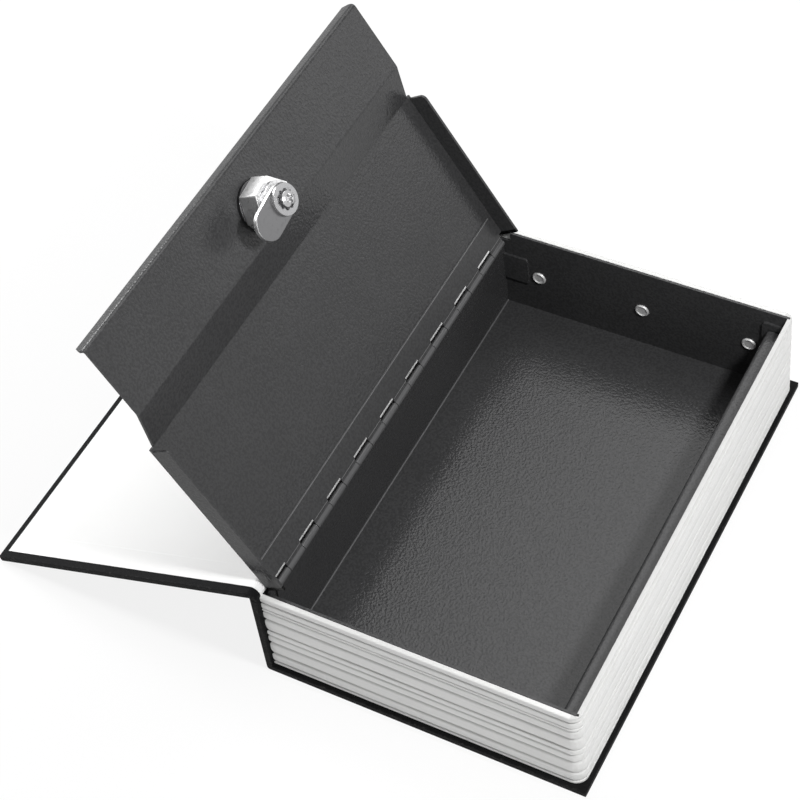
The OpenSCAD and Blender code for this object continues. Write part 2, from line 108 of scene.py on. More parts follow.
class Sock:
    """A shader socket that takes part in sums and products; each one adds its Math node."""

    def __init__(self, graph: "Graph", socket: bpy.types.NodeSocket) -> None:
        """Wraps an output socket of a graph."""
        self.graph = graph
        self.socket = socket

    def _math(self, operation: str, *values: "Sock | float") -> "Sock":
        """Adds one Math node over the values and returns its result."""
        return self.graph.out("ShaderNodeMath", 0, {"operation": operation}, dict(enumerate(values)))

    def __add__(self, other: "Sock | float") -> "Sock":
        """The sum."""
        return self._math("ADD", self, other)

    def __sub__(self, other: "Sock | float") -> "Sock":
        """The difference."""
        return self._math("SUBTRACT", self, other)

    def __rsub__(self, other: float) -> "Sock":
        """The difference from a number."""
        return self._math("SUBTRACT", other, self)

    def __mul__(self, other: "Sock | float") -> "Sock":
        """The product."""
        return self._math("MULTIPLY", self, other)

    def __truediv__(self, other: "Sock | float") -> "Sock":
        """The quotient."""
        return self._math("DIVIDE", self, other)

    __radd__ = __add__
    __rmul__ = __mul__

    def size(self) -> "Sock":
        """The absolute value."""
        return self._math("ABSOLUTE", self)

    def fraction(self) -> "Sock":
        """What is left above the next lower whole number."""
        return self._math("FRACT", self)

    def most(self, other: "Sock | float") -> "Sock":
        """The larger of the two."""
        return self._math("MAXIMUM", self, other)

    def rise(self, low: float, high: float) -> "Sock":
        """A smooth step from 0 at low to 1 at high, or down where high is below low.

        Args:
            low: The value at which the step starts.
            high: The value at which it ends.

        Returns:
            The step, from 0 to 1.
        """
        start, end, first, last = (low, high, 0.0, 1.0) if low < high else (high, low, 1.0, 0.0)
        return self.graph.out("ShaderNodeMapRange", 0, {"interpolation_type": "SMOOTHSTEP"},
                               {"Value": self, "From Min": start, "From Max": end,
                                "To Min": first, "To Max": last})


def scaled(values: Point, factor: float) -> Point:
    """A colour or a direction, each of its values times a factor."""
    return tuple(factor * value for value in values)


class Graph:
    """The nodes of one material or world."""

    def __init__(self, owner: Material | bpy.types.World) -> None:
        """Empties the owner's node tree.

        Args:
            owner: The material or world.
        """
        owner.use_nodes = True
        self.tree = owner.node_tree
        self.tree.nodes.clear()

    def node(self, kind: str, settings: Mapping[str, Any] | None = None,
             values: Mapping[Any, Any] | None = None) -> bpy.types.ShaderNode:
        """Adds a node, sets it up and connects it.

        Args:
            kind: The node's type.
            settings: Its own settings.
            values: What its inputs get, by name or number: a number, a vector or a socket.

        Returns:
            The new node.
        """
        made = self.tree.nodes.new(kind)
        for key, value in (settings or {}).items():
            setattr(made, key, value)
        for key, value in (values or {}).items():
            if isinstance(value, Sock):
                self.tree.links.new(value.socket, made.inputs[key])
            else:
                made.inputs[key].default_value = value
        return made

    def out(self, kind: str, output: str | int, settings: Mapping[str, Any] | None = None,
            values: Mapping[Any, Any] | None = None) -> Sock:
        """Adds a node as node() does and returns one of its outputs."""
        return Sock(self, self.node(kind, settings, values).outputs[output])


class Shader(Graph):
    """The graph of one material, which reads Object coordinates."""

    def __init__(self, name: str) -> None:
        """Makes an empty material.

        Args:
            name: The material's name.
        """
        self.material = bpy.data.materials.new(name)
        super().__init__(self.material)
        self.place = self.out("ShaderNodeTexCoord", "Object")

    def axes(self) -> tuple[Sock, Sock, Sock]:
        """The three Object coordinates as values."""
        split = self.node("ShaderNodeSeparateXYZ", values={0: self.place})
        return tuple(Sock(self, output) for output in split.outputs)

    def lid_axes(self) -> tuple[Sock, Sock]:
        """The distance from the hinge's axis up the open lid, and the one out of its face."""
        x, _, z = self.axes()
        x, z = x - HINGE_AXIS.x, z - HINGE_AXIS.z
        return z * LID_UP.z + x * LID_UP.x, x * LID_OUT.x + z * LID_OUT.z

    def attribute(self, name: str) -> Sock:
        """A number that the mesh carries."""
        return self.out("ShaderNodeAttribute", "Fac", {"attribute_name": name})

    def noise(self, grain: float, detail: float = 2.0, roughness: float = 0.5,
              stretch: Point | None = None) -> Sock:
        """Cloudy noise round 0.5.

        Args:
            grain: The size of a cloud, in metres.
            detail: How many finer layers lie on it.
            roughness: How strong the finer layers are.
            stretch: Scales of the three axes, where the clouds are drawn out.

        Returns:
            The noise, from 0 to 1.
        """
        place = self.place
        if stretch is not None:
            place = self.out("ShaderNodeVectorMath", 0, {"operation": "MULTIPLY"}, {0: place, 1: stretch})
        return self.out("ShaderNodeTexNoise", "Fac", None,
                        {"Vector": place, "Scale": 1 / grain, "Detail": detail, "Roughness": roughness})

    def cells(self, grain: float, feature: str, smooth: float = 0.0) -> Sock:
        """The distance to the nearest of a scatter of points.

        Args:
            grain: The mean distance between the points, in metres.
            feature: Which distance is wanted, as the Voronoi node names it.
            smooth: How far neighbours melt together, from 0 to 1.

        Returns:
            The distance, in shares of the grain.
        """
        wobble = self.out("ShaderNodeTexNoise", "Color", None,
                          {"Vector": self.place, "Scale": 0.6 / grain, "Detail": 1.0})
        bent = self.out("ShaderNodeMix", 1, {"data_type": "VECTOR"},
                        {0: 0.6 * grain, 4: self.place, 5: wobble})
        values: dict[Any, Any] = {"Vector": bent, "Scale": 1 / grain}
        if feature == "SMOOTH_F1":
            values["Smoothness"] = smooth
        return self.out("ShaderNodeTexVoronoi", "Distance", {"feature": feature}, values)

    def mix(self, share: "Sock | float", first: "Sock | Colour", second: "Sock | Colour") -> Sock:
        """A mix of two colours."""
        return self.out("ShaderNodeMix", 2, {"data_type": "RGBA", "clamp_factor": True},
                        {0: share,
                         6: first if isinstance(first, Sock) else (*first, 1.0),
                         7: second if isinstance(second, Sock) else (*second, 1.0)})

    def bump(self, height: Sock, depth: float, under: Sock | None = None) -> Sock:
        """A bumped normal.

        Args:
            height: The relief, from 0 to 1.
            depth: How deep 1 is, in metres.
            under: A normal that this one is laid over.

        Returns:
            The normal.
        """
        values: dict[Any, Any] = {"Strength": 1.0, "Distance": depth, "Height": height}
        if under is not None:
            values["Normal"] = under
        return self.out("ShaderNodeBump", "Normal", None, values)

    def surface(self, **sockets: Any) -> Material:
        """Closes the tree with a Principled shader.

        Args:
            sockets: Its inputs, with _ for a space in the name.

        Returns:
            The finished material.
        """
        values = {key.replace("_", " "): value for key, value in sockets.items()}
        shader = self.node("ShaderNodeBsdfPrincipled", None, values)
        self.node("ShaderNodeOutputMaterial", None, {"Surface": Sock(self, shader.outputs[0])})
        return self.material


# Finishes

ColourAndMetal = tuple[Sock, Sock | float]  # a colour, and where or how far the surface is metal


@dataclass(frozen=True)
class PowderCoat:
    """Baked powder paint on steel: an even dark film with the dimples of orange peel, and painted shade in the
    dimples.
    """

    name: str = "powder_coat"
    colour: Colour = (0.046, 0.046, 0.0472)
    dust: Colour = (0.16, 0.16, 0.16)
    peel: float = 1.15 * MM
    peel_depth: float = 0.15 * MM
    fine_peel: float = 0.6 * MM
    fine_depth: float = 0.04 * MM
    roughness: float = 0.16
    specular: float = 0.2
    cloud_size: float = 38 * MM
    cloud_tone: float = 1.10
    dimple_shade_tone: float = 0.62
    dimple_shade_share: float = 0.5
    dust_grain: float = 0.7 * MM
    dust_patch: float = 9 * MM
    dust_share: float = 0.22

    def build(self) -> Material:
        """Makes the material."""
        sh = Shader(self.name)
        dimples = sh.noise(self.peel, 1.5, 0.45)
        fine = sh.noise(self.fine_peel, 1.0)
        cloud = sh.noise(self.cloud_size, 3.0)
        specks = sh.noise(self.dust_grain, 2.0, 0.6).rise(0.70, 0.78)
        dust = specks * sh.noise(self.dust_patch, 2.0).rise(0.52, 0.66)
        tone = sh.mix(cloud.rise(0.3, 0.7), self.colour, scaled(self.colour, self.cloud_tone))
        # Painted shade: the dimples of the orange peel are darker.
        tone = sh.mix(dimples.rise(0.62, 0.36) * self.dimple_shade_share, tone, scaled(self.colour, self.dimple_shade_tone))
        colour, metallic = self.painted_light(sh, sh.mix(dust * self.dust_share, tone, self.dust))
        rough = self.roughness - 0.05 + cloud * 0.10 + dust * 0.15
        normal = sh.bump(fine, self.fine_depth, sh.bump(dimples, self.peel_depth))
        return sh.surface(Base_Color=colour, Metallic=metallic, Roughness=rough, Normal=normal,
                          Specular_IOR_Level=self.specular)

    def painted_light(self, sh: Shader, colour: Sock) -> ColourAndMetal:
        """The colour with a piece's painted highlights and shade, and where it is made metal. Plain paint has
        neither.
        """
        return colour, 0.0


@dataclass(frozen=True)
class TrayCoat(PowderCoat):
    """The tray's paint, with a painted highlight along the bend between spine wall and floor."""

    name: str = "tray_coat"
    wall_x: float = 1.2 * MM
    floor_z: float = 4.25 * MM
    bend: Span = (0.62 * MM, 0.372 * MM)
    bend_highlight: Colour = (0.11, 0.11, 0.112)

    def painted_light(self, sh: Shader, colour: Sock) -> ColourAndMetal:
        """Paints a highlight on the bend, where both the wall and the floor are near."""
        x, _, z = sh.axes()
        away = (x - self.wall_x).most(z - self.floor_z)
        return sh.mix(away.rise(*self.bend), colour, self.bend_highlight), 0.0


@dataclass(frozen=True)
class LidCoat(PowderCoat):
    """The lid's paint, with painted shade along the strip that lies in the gap behind the hinge's slots."""

    name: str = "lid_coat"
    gap: Span = (4.3 * MM, 4.2 * MM)
    gap_shade: Colour = (0.002, 0.002, 0.002)

    def painted_light(self, sh: Shader, colour: Sock) -> ColourAndMetal:
        """Paints shade on the strip next to the hinge's axis."""
        up, _ = sh.lid_axes()
        return sh.mix(up.rise(*self.gap), colour, self.gap_shade), 0.0


@dataclass(frozen=True)
class HingeCoat(PowderCoat):
    """Smoother paint on the leaves of the hinge, with a painted highlight on the knuckles."""

    peel: float = 1.2 * MM
    peel_depth: float = 0.03 * MM
    fine_depth: float = 0.01 * MM
    roughness: float = 0.24
    rub_and_highlight: Colour = (0.088, 0.088, 0.090)


@dataclass(frozen=True)
class BoxLeafCoat(HingeCoat):
    """Hinge paint on the box's leaf, with a painted highlight on the knuckles."""

    name: str = "hinge_coat"
    highlight_from: Span = (49.3 * MM, 49.7 * MM)

    def painted_light(self, sh: Shader, colour: Sock) -> ColourAndMetal:
        """Paints a highlight on the knuckles, which lie highest."""
        _, _, z = sh.axes()
        return sh.mix(z.rise(*self.highlight_from), colour, self.rub_and_highlight), 0.0


@dataclass(frozen=True)
class LidLeafCoat(HingeCoat):
    """Hinge paint on the lid's leaf.

    It has a painted highlight on the knuckles, painted highlights along the free edge and the lip of each
    crease, painted shade in the creases, and bright bare metal painted along the punched slots as a highlight.
    Knuckles and slots take turns along the pin: the first half of each pitch is a knuckle, the second half a
    slot. Heights go up the lid from the hinge's axis.
    """

    name: str = "lid_leaf_coat"
    slot_start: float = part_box("lid_leaf")[0][1] + 8.8 * MM
    slot_pitch: float = 24.48 * MM
    ends: Span = (0.242, 0.238)
    slot_foot: Span = (3.8 * MM, 4.0 * MM)
    slot_head: Span = (4.8 * MM, 4.65 * MM)
    slot_highlight: Colour = (0.86, 0.86, 0.86)
    knuckle_top: Span = (1.75 * MM, 1.5 * MM)
    crease_at: float = 3.05 * MM
    crease: Span = (0.25 * MM, 0.15 * MM)
    crease_share: float = 0.85
    crease_shade: Colour = (0.004, 0.004, 0.004)
    lip_at: float = 3.5 * MM
    lip: Span = (0.22 * MM, 0.12 * MM)
    free_edge: Span = (14.75 * MM, 14.9 * MM)
    edge_highlight: Colour = (0.15, 0.15, 0.152)

    def painted_light(self, sh: Shader, colour: Sock) -> ColourAndMetal:
        """Adds the painted highlights on the knuckles, the slots, the lips and the free edge, and the painted
        shade in the creases.

        Args:
            sh: The material's graph.
            colour: The paint's colour.

        Returns:
            The colour with the painted highlights and shade, and where bare metal is painted on, from 0 to 1.
        """
        up, _ = sh.lid_axes()
        _, y, _ = sh.axes()
        turn = ((y - self.slot_start) / self.slot_pitch).fraction()
        knuckle = (turn - 0.25).size().rise(*self.ends)
        slot = (turn - 0.75).size().rise(*self.ends)
        # Painted highlight: bright bare metal along the slots; painted highlights on the lips and free edge;
        # painted shade in the creases.
        slot_highlight = slot * up.rise(*self.slot_foot) * up.rise(*self.slot_head)
        crease = knuckle * (up - self.crease_at).size().rise(*self.crease)
        lip = knuckle * (up - self.lip_at).size().rise(*self.lip)
        edge_highlight = up.rise(*self.free_edge).most(lip)
        colour = sh.mix(up.rise(*self.knuckle_top), colour, self.rub_and_highlight)
        colour = sh.mix(edge_highlight, colour, self.edge_highlight)
        colour = sh.mix(crease * self.crease_share, colour, self.crease_shade)
        return sh.mix(slot_highlight, colour, self.slot_highlight), slot_highlight


@dataclass(frozen=True)
class Leatherette:
    """Embossed black book cloth: small pebbles with painted shade in the creases between, rubbed grey at the
    ends of the boards.
    """

    name: str = "leatherette"
    colour: Colour = (0.0075, 0.0075, 0.008)
    rub_and_highlight: Colour = (0.06, 0.058, 0.056)
    pebble: float = 0.62 * MM
    depth: float = 0.08 * MM
    board_end: Span = (119.1 * MM, 119.9 * MM)
    crease_shade_tone: float = 0.4
    cloud_size: float = 26 * MM
    cloud_tone: float = 1.7
    scuff_size: float = 2.6 * MM
    scuff_share: float = 0.55
    specular: float = 0.06

    def build(self) -> Material:
        """Makes the material."""
        sh = Shader(self.name)
        _, y, _ = sh.axes()
        pebbles = sh.cells(self.pebble, "SMOOTH_F1", 0.35)
        creases = sh.cells(self.pebble, "DISTANCE_TO_EDGE").rise(0.0, 0.22)
        relief = creases * 0.7 + (1 - pebbles) * 0.3
        cloud = sh.noise(self.cloud_size, 3.0)
        edge = y.size().rise(*self.board_end)
        scuff = edge * sh.noise(self.scuff_size, 3.0, 0.65, (1.0, 1.0, 2.4)).rise(0.50, 0.72)
        # Painted shade: the creases between the pebbles are darker.
        tone = sh.mix(creases, scaled(self.colour, self.crease_shade_tone), self.colour)
        tone = sh.mix(cloud.rise(0.35, 0.75) * 0.35, tone, scaled(self.colour, self.cloud_tone))
        colour = sh.mix(scuff * self.scuff_share, tone, self.rub_and_highlight)
        rough = 0.66 - creases * 0.09 + cloud * 0.08
        return sh.surface(Base_Color=colour, Roughness=rough, Normal=sh.bump(relief, self.depth),
                          Specular_IOR_Level=self.specular)


@dataclass(frozen=True)
class MouldedPages:
    """White moulded plastic that imitates page edges: fine lines along the folds, and painted shade in the
    grooves and lines.
    """

    name: str = "moulded_pages"
    colour: Colour = (0.72, 0.72, 0.712)
    groove_shade: Colour = (0.34, 0.34, 0.333)
    groove_share: float = 0.5
    line: float = 0.55 * MM
    line_depth: float = 0.05 * MM
    line_share: float = 0.16
    line_stretch: Point = (0.012, 0.012, 1.0)
    grain: float = 0.3 * MM
    grain_depth: float = 0.006 * MM
    stain: Colour = (0.62, 0.61, 0.59)
    stain_size: float = 30 * MM
    fore_rim: Span = tuple(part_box("page_block")[1][0] - inset * MM for inset in (5.5, 4.5))
    rim_top: Span = tuple(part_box("page_block")[1][2] - inset * MM for inset in (0.9, 0.1))
    fore_rim_shade: Colour = (0.57, 0.57, 0.564)

    def build(self) -> Material:
        """Makes the material. The top of the fore side's rim is greyer: painted shade."""
        sh = Shader(self.name)
        lines = sh.noise(self.line, 2.0, 0.55, self.line_stretch)
        grain = sh.noise(self.grain, 2.0)
        stain = sh.noise(self.stain_size, 2.0, 0.5, (0.4, 0.4, 1.0))
        # Painted shade in the grooves and along the fine lines.
        tone = sh.mix(sh.attribute("groove_shade") * self.groove_share, self.colour, self.groove_shade)
        tone = sh.mix(lines.rise(0.58, 0.72) * self.line_share, tone, self.groove_shade)
        colour = sh.mix(stain.rise(0.55, 0.8) * 0.10, tone, self.stain)
        x, _, z = sh.axes()
        colour = sh.mix(x.rise(*self.fore_rim) * z.rise(*self.rim_top), colour, self.fore_rim_shade)
        relief = sh.bump(grain, self.grain_depth, sh.bump(lines, self.line_depth))
        return sh.surface(Base_Color=colour, Roughness=0.5 + grain * 0.1, Normal=relief,
                          Specular_IOR_Level=0.35)


@dataclass(frozen=True)
class Endpaper:
    """Smooth white paper glued over the turned-in cloth, whose edge shows through as a faint step."""

    name: str = "endpaper"
    colour: Colour = (0.88, 0.88, 0.875)
    turn_in: Span = (105.3 * MM, 106.0 * MM)
    turn_in_depth: float = 0.08 * MM
    fibre: float = 0.22 * MM
    fibre_depth: float = 0.008 * MM
    fibre_tone: float = 0.955
    cockle: float = 34 * MM
    cockle_depth: float = 0.35 * MM

    def build(self) -> Material:
        """Makes the material."""
        sh = Shader(self.name)
        _, y, _ = sh.axes()
        step = y.size().rise(*self.turn_in)
        fibre = sh.noise(self.fibre, 3.0, 0.6)
        cockle = sh.noise(self.cockle, 2.0)
        colour = sh.mix(fibre.rise(0.4, 0.75) * 0.3, self.colour, scaled(self.colour, self.fibre_tone))
        relief = sh.bump(cockle, self.cockle_depth, sh.bump(step, self.turn_in_depth))
        normal = sh.bump(fibre, self.fibre_depth, relief)
        return sh.surface(Base_Color=colour, Roughness=0.62 + fibre * 0.1, Normal=normal,
                          Specular_IOR_Level=0.3)


@dataclass(frozen=True)
class GreyBoard:
    """Pressed binder's board with flecks of darker pulp."""

    name: str = "grey_board"
    colour: Colour = (0.33, 0.30, 0.26)
    dark: Colour = (0.10, 0.09, 0.08)
    pulp: float = 0.8 * MM
    pulp_depth: float = 0.06 * MM
    pulp_tone: float = 0.75
    fleck: float = 0.35 * MM

    def build(self) -> Material:
        """Makes the material."""
        sh = Shader(self.name)
        pulp = sh.noise(self.pulp, 4.0, 0.65)
        fleck = sh.noise(self.fleck, 1.0).rise(0.68, 0.75)
        colour = sh.mix(pulp, self.colour, scaled(self.colour, self.pulp_tone))
        colour = sh.mix(fleck * 0.6, colour, self.dark)
        return sh.surface(Base_Color=colour, Roughness=0.85, Normal=sh.bump(pulp, self.pulp_depth))


@dataclass(frozen=True)
class PlatedMetal:
    """Plated or bare bright metal, with the drawn marks of its making and a little handling wear."""

    name: str
    colour: Colour
    roughness: float
    ripple: float = 3.0 * MM
    ripple_depth: float = 0.01 * MM
    mark: float = 0.22 * MM
    mark_depth: float = 0.0015 * MM
    mark_stretch: Point = (1.0, 0.05, 1.0)
    stain: Colour = (0.30, 0.30, 0.30)
    stain_size: float = 1.8 * MM
    stain_share: float = 0.25
    metallic: float = 1.0

    def build(self) -> Material:
        """Makes the material."""
        sh = Shader(self.name)
        ripple = sh.noise(self.ripple, 2.0)
        marks = sh.noise(self.mark, 2.0, 0.6, self.mark_stretch)
        stain = sh.noise(self.stain_size, 3.0, 0.6).rise(0.52, 0.72)
        colour, metallic = self.parted(sh, sh.mix(stain * self.stain_share, self.colour, self.stain))
        rough = self.roughness + stain * 0.10 + marks * 0.05
        normal = sh.bump(marks, self.mark_depth, sh.bump(ripple, self.ripple_depth))
        return sh.surface(Base_Color=colour, Metallic=metallic, Roughness=rough, Normal=normal)

    def parted(self, sh: Shader, colour: Sock) -> ColourAndMetal:
        """The colour and the share of metal of a piece's parts. Plain plate is even."""
        return colour, self.metallic


@dataclass(frozen=True)
class RimmedPlate(PlatedMetal):
    """Dull plate with a painted highlight round its edges: face is how far its face stands out from the lock
    panel.
    """

    face: float = 0.0
    drop: Span = (0.06 * MM, 0.16 * MM)
    rim: Colour = (0.82, 0.82, 0.82)

    def parted(self, sh: Shader, colour: Sock) -> ColourAndMetal:
        """Paints a highlight on what lies behind the face."""
        _, out = sh.lid_axes()
        edge = (LOCK_PANEL + self.face - drop for drop in self.drop)
        return sh.mix(out.rise(*edge), colour, self.rim), self.metallic


@dataclass(frozen=True)
class NutPlate(PlatedMetal):
    """Satin plate, made mirror-like metal on the facets towards the near end so that they show dark: painted
    shade.
    """

    near: Span = (-6.8 * MM, -7.2 * MM)
    shade_metallic: float = 0.97

    def parted(self, sh: Shader, colour: Sock) -> ColourAndMetal:
        """Makes the near facets mirror like bare metal, so that they show dark as painted shade."""
        _, y, _ = sh.axes()
        return colour, y.rise(*self.near) * (self.shade_metallic - self.metallic) + self.metallic


def finish(look: Any) -> Any:
    """A field of Finishes that holds the material built from a look."""
    return field(default_factory=look.build)


@dataclass(frozen=True)
class Finishes:
    """Every finish of the object, built once."""

    tray: Material = finish(TrayCoat())
    lid: Material = finish(LidCoat())
    box_leaf: Material = finish(BoxLeafCoat())
    lid_leaf: Material = finish(LidLeafCoat())
    leather: Material = finish(Leatherette())
    pages: Material = finish(MouldedPages())
    paper: Material = finish(Endpaper())
    board: Material = finish(GreyBoard())
    chrome: Material = finish(PlatedMetal("chrome_plate", (0.78, 0.78, 0.79), 0.10, stain_share=0.12))
    nut: Material = finish(NutPlate("satin_plate", (0.84, 0.84, 0.84), 0.26, ripple=2.2 * MM,
                                    ripple_depth=0.06 * MM, stain_share=0.6, metallic=0.5))
    cam: Material = finish(RimmedPlate("zinc_cam", (0.165, 0.165, 0.168), 0.30, mark_depth=0.003 * MM,
                                       stain=(0.10, 0.10, 0.10), face=16.7 * MM))
    washer: Material = finish(RimmedPlate("washer_zinc", (0.31, 0.31, 0.315), 0.22, stain=(0.2, 0.2, 0.2),
                                          face=18.1 * MM, rim=(0.62, 0.62, 0.62)))
    bright: Material = finish(PlatedMetal("bright_zinc", (0.50, 0.50, 0.505), 0.16,
                                          stain=(0.12, 0.12, 0.12), stain_share=0.5))
    shaded: Material = finish(PlatedMetal("shaded_zinc", (0.10, 0.10, 0.102), 0.32, stain=(0.05, 0.05, 0.05)))
    rivet: Material = finish(PlatedMetal("rivet_aluminium", (0.74, 0.74, 0.74), 0.42, metallic=0.45))
    pin: Material = finish(PlatedMetal("pin_wire", (0.55, 0.55, 0.56), 0.28))


# Meshes

def put(name: str, data: bpy.types.ID) -> Piece:
    """Puts a mesh, camera or lamp into the scene as an object."""
    made = bpy.data.objects.new(name, data)
    bpy.context.scene.collection.objects.link(made)
    return made


@contextmanager
def edited(mesh: bpy.types.Mesh) -> Iterator[bmesh.types.BMesh]:
    """Opens a mesh for editing and writes it back afterwards."""
    bm = bmesh.new()
    bm.from_mesh(mesh)
    yield bm
    bm.to_mesh(mesh)
    bm.free()


def surface_from_grid(name: str, grid: np.ndarray, closed: bool = False, caps: bool = False,
                      values: Mapping[str, np.ndarray] | None = None) -> Piece:
    """Makes a mesh of the quads between neighbouring points of a grid.

    Point (i, j) lies in row i and column j; a quad joins (i, j), (i, j + 1), (i + 1, j + 1) and (i + 1, j).

    Args:
        name: The object's name.
        grid: Points, as an array of rows by columns by 3.
        closed: Whether the last column joins the first.
        caps: Whether the first and last row are filled, each as one face.
        values: Numbers that the mesh carries, by name, as arrays of rows by columns.

    Returns:
        The object, smooth shaded, with its faces pointing outwards where it is closed.
    """
    rows, columns = grid.shape[:2]
    index = np.arange(rows * columns).reshape(rows, columns)
    after = np.roll(index, -1, axis=1) if closed else index[:, 1:]
    before = index if closed else index[:, :-1]
    quads = np.stack([before[:-1], after[:-1], after[1:], before[1:]], axis=-1).reshape(-1, 4)
    faces = quads.tolist()
    if caps:
        faces += [index[0].tolist(), index[-1].tolist()]
    mesh = bpy.data.meshes.new(name)
    mesh.from_pydata(grid.reshape(-1, 3).tolist(), [], faces)
    for key, numbers in (values or {}).items():
        layer = mesh.attributes.new(key, "FLOAT", "POINT")
        layer.data.foreach_set("value", np.ascontiguousarray(numbers, np.float32).ravel())
    if caps:
        with edited(mesh) as bm:
            bmesh.ops.recalc_face_normals(bm, faces=bm.faces)
    mesh.shade_smooth()
    mesh.set_sharp_from_angle(angle=math.radians(34))
    return put(name, mesh)


def finer_copy(node: str, edge: float, segments: int = 3, angle: float = 32.0) -> Piece:
    """A copy of a solid whose flat faces are whole, with rolled edges and smooth bends.

    Args:
        node: The solid's name.
        edge: The width of the rolled edge.
        segments: The number of faces across it.
        angle: The least turn between two faces, in degrees, that counts as an edge.

    Returns:
        The copy, named after the solid.
    """
    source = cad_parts[node].data
    corners = np.zeros(len(source.loops), np.int32)
    source.loops.foreach_get("vertex_index", corners)
    mesh = bpy.data.meshes.new(f"{node}_fine")
    mesh.from_pydata(points_of(source).tolist(), [], corners.reshape(-1, 3).tolist())
    with edited(mesh) as bm:
        bmesh.ops.remove_doubles(bm, verts=bm.verts, dist=0.002 * MM)
        bmesh.ops.dissolve_limit(bm, angle_limit=math.radians(0.5), verts=bm.verts, edges=bm.edges)
    mesh.shade_smooth()
    made = put(f"{node}_fine", mesh)
    roll = made.modifiers.new("rolled_edge", "BEVEL")
    roll.width = edge
    roll.segments = segments
    roll.limit_method = "ANGLE"
    roll.angle_limit = math.radians(angle)
    roll.miter_outer = "MITER_ARC"
    roll.use_clamp_overlap = True
    weigh = made.modifiers.new("even_shading", "WEIGHTED_NORMAL")
    weigh.keep_sharp = True
    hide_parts(node)
    return made


def dress(piece: Piece, material: Material) -> None:
    """Gives a piece its material."""
    piece.data.materials.clear()
    piece.data.materials.append(material)


def seat(piece: Piece, material: Material, body: Body) -> None:
    """Dresses a piece, lets it ride on its body and reports it.

    Args:
        piece: The new piece.
        material: Its finish.
        body: The body that it moves with.
    """
    dress(piece, material)
    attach(piece, body.value)
    log.info("%s rides on %s", piece.name, body.value)


def points_of(mesh: bpy.types.Mesh) -> np.ndarray:
    """The points of a mesh, as an array of count by 3."""
    points = np.zeros(len(mesh.vertices) * 3, np.float32)
    mesh.vertices.foreach_get("co", points)
    return points.reshape(-1, 3)


def box_of(node: str) -> tuple[np.ndarray, np.ndarray]:
    """The lowest and highest corner of a solid as arrays."""
    low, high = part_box(node)
    return np.array(low), np.array(high)


def arc(start: float, end: float, count: int) -> np.ndarray:
    """Unit vectors from one angle to another, in degrees, as an array of count by 2."""
    angles = np.radians(np.linspace(start, end, count))
    return np.stack([np.cos(angles), np.sin(angles)], axis=-1)


def spoke(angle: float) -> np.ndarray:
    """The unit vector at an angle in degrees."""
    return arc(angle, angle, 1)[0]


# Sub-assemblies

